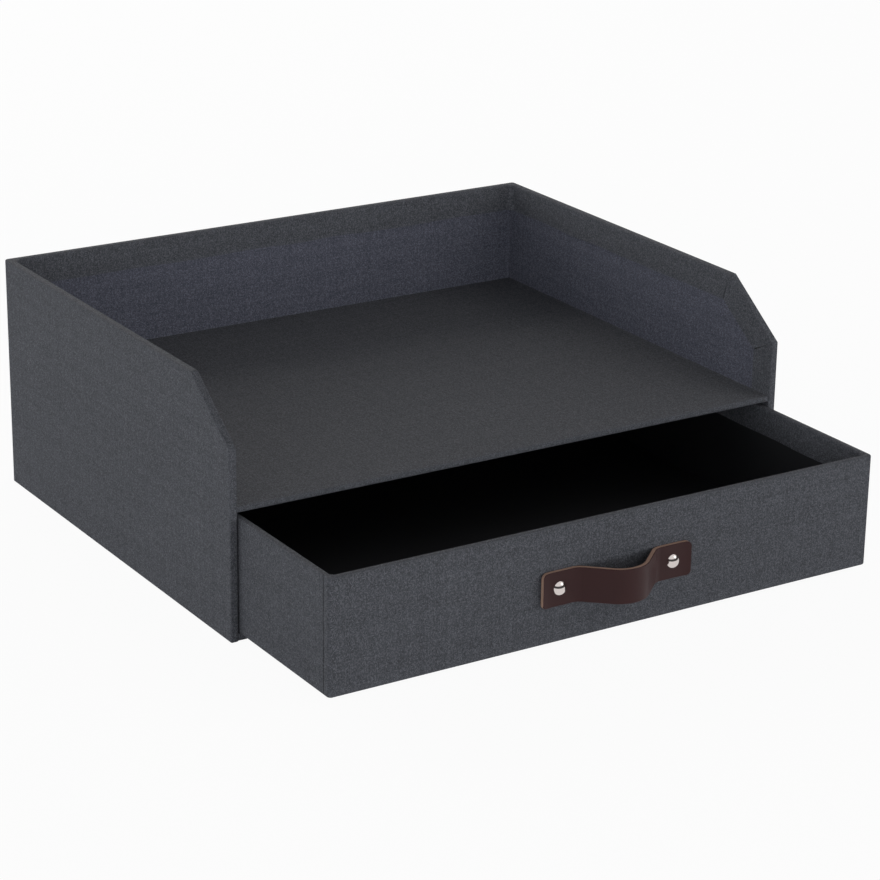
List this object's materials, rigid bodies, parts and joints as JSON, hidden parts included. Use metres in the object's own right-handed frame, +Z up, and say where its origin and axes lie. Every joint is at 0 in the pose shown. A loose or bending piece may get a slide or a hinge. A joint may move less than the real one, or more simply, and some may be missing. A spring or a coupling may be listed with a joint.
{
  "type": "letter tray with drawer",
  "caption": "Desk letter tray with high side walls and sloping front corners, on a case with one full-width drawer that a leather strap pulls out.",
  "frame": {"origin": "on the desk, under the middle of the case's footprint (the drawer not counted)", "axes": "+X to the right seen from the front, +Y to the back, +Z up; the drawer opens towards -Y"},
  "size_m": [0.33, 0.3599, 0.128],
  "materials": {
    "linen_cover_paper": "charcoal linen-embossed cover paper, matt",
    "black_lining_paper": "black matt paper",
    "grey_board": "dark grey solid board",
    "strap_leather": "dark brown smooth leather with raw tan cut edges",
    "polished_steel": "polished nickel",
    "plain_steel": "plain nickel-plated steel"
  },
  "bodies": {
    "case": {"back_wall_board": "grey_board", "back_wall_cover": "linen_cover_paper", "back_wall_lining": "linen_cover_paper", "base_board": "grey_board", "base_cover": "linen_cover_paper", "base_underlay": "linen_cover_paper", "left_wall_board": "grey_board", "left_wall_cover": "linen_cover_paper", "left_wall_lining": "linen_cover_paper", "right_wall_board": "grey_board", "right_wall_cover": "linen_cover_paper", "right_wall_lining": "linen_cover_paper", "shelf_board": "grey_board", "shelf_cover": "linen_cover_paper", "shelf_underlay": "linen_cover_paper"},
    "drawer": {"drawer_back_board": "grey_board", "drawer_back_cover": "linen_cover_paper", "drawer_back_lining": "black_lining_paper", "drawer_floor_board": "grey_board", "drawer_floor_lining": "black_lining_paper", "drawer_floor_underlay": "linen_cover_paper", "drawer_front_board": "grey_board", "drawer_front_cover": "linen_cover_paper", "drawer_front_lining": "black_lining_paper", "drawer_left_board": "grey_board", "drawer_left_cover": "linen_cover_paper", "drawer_left_lining": "black_lining_paper", "drawer_right_board": "grey_board", "drawer_right_cover": "linen_cover_paper", "drawer_right_lining": "black_lining_paper", "handle_screws": "plain_steel", "handle_strap": "strap_leather", "handle_studs": "polished_steel", "handle_washers": "plain_steel"}
  },
  "joints": [
    {"name": "drawer_slide", "type": "slide", "parent": "case", "child": "drawer", "axis": [0, -1, 0], "range_m": [-0.086, 0.084]}
  ]
}
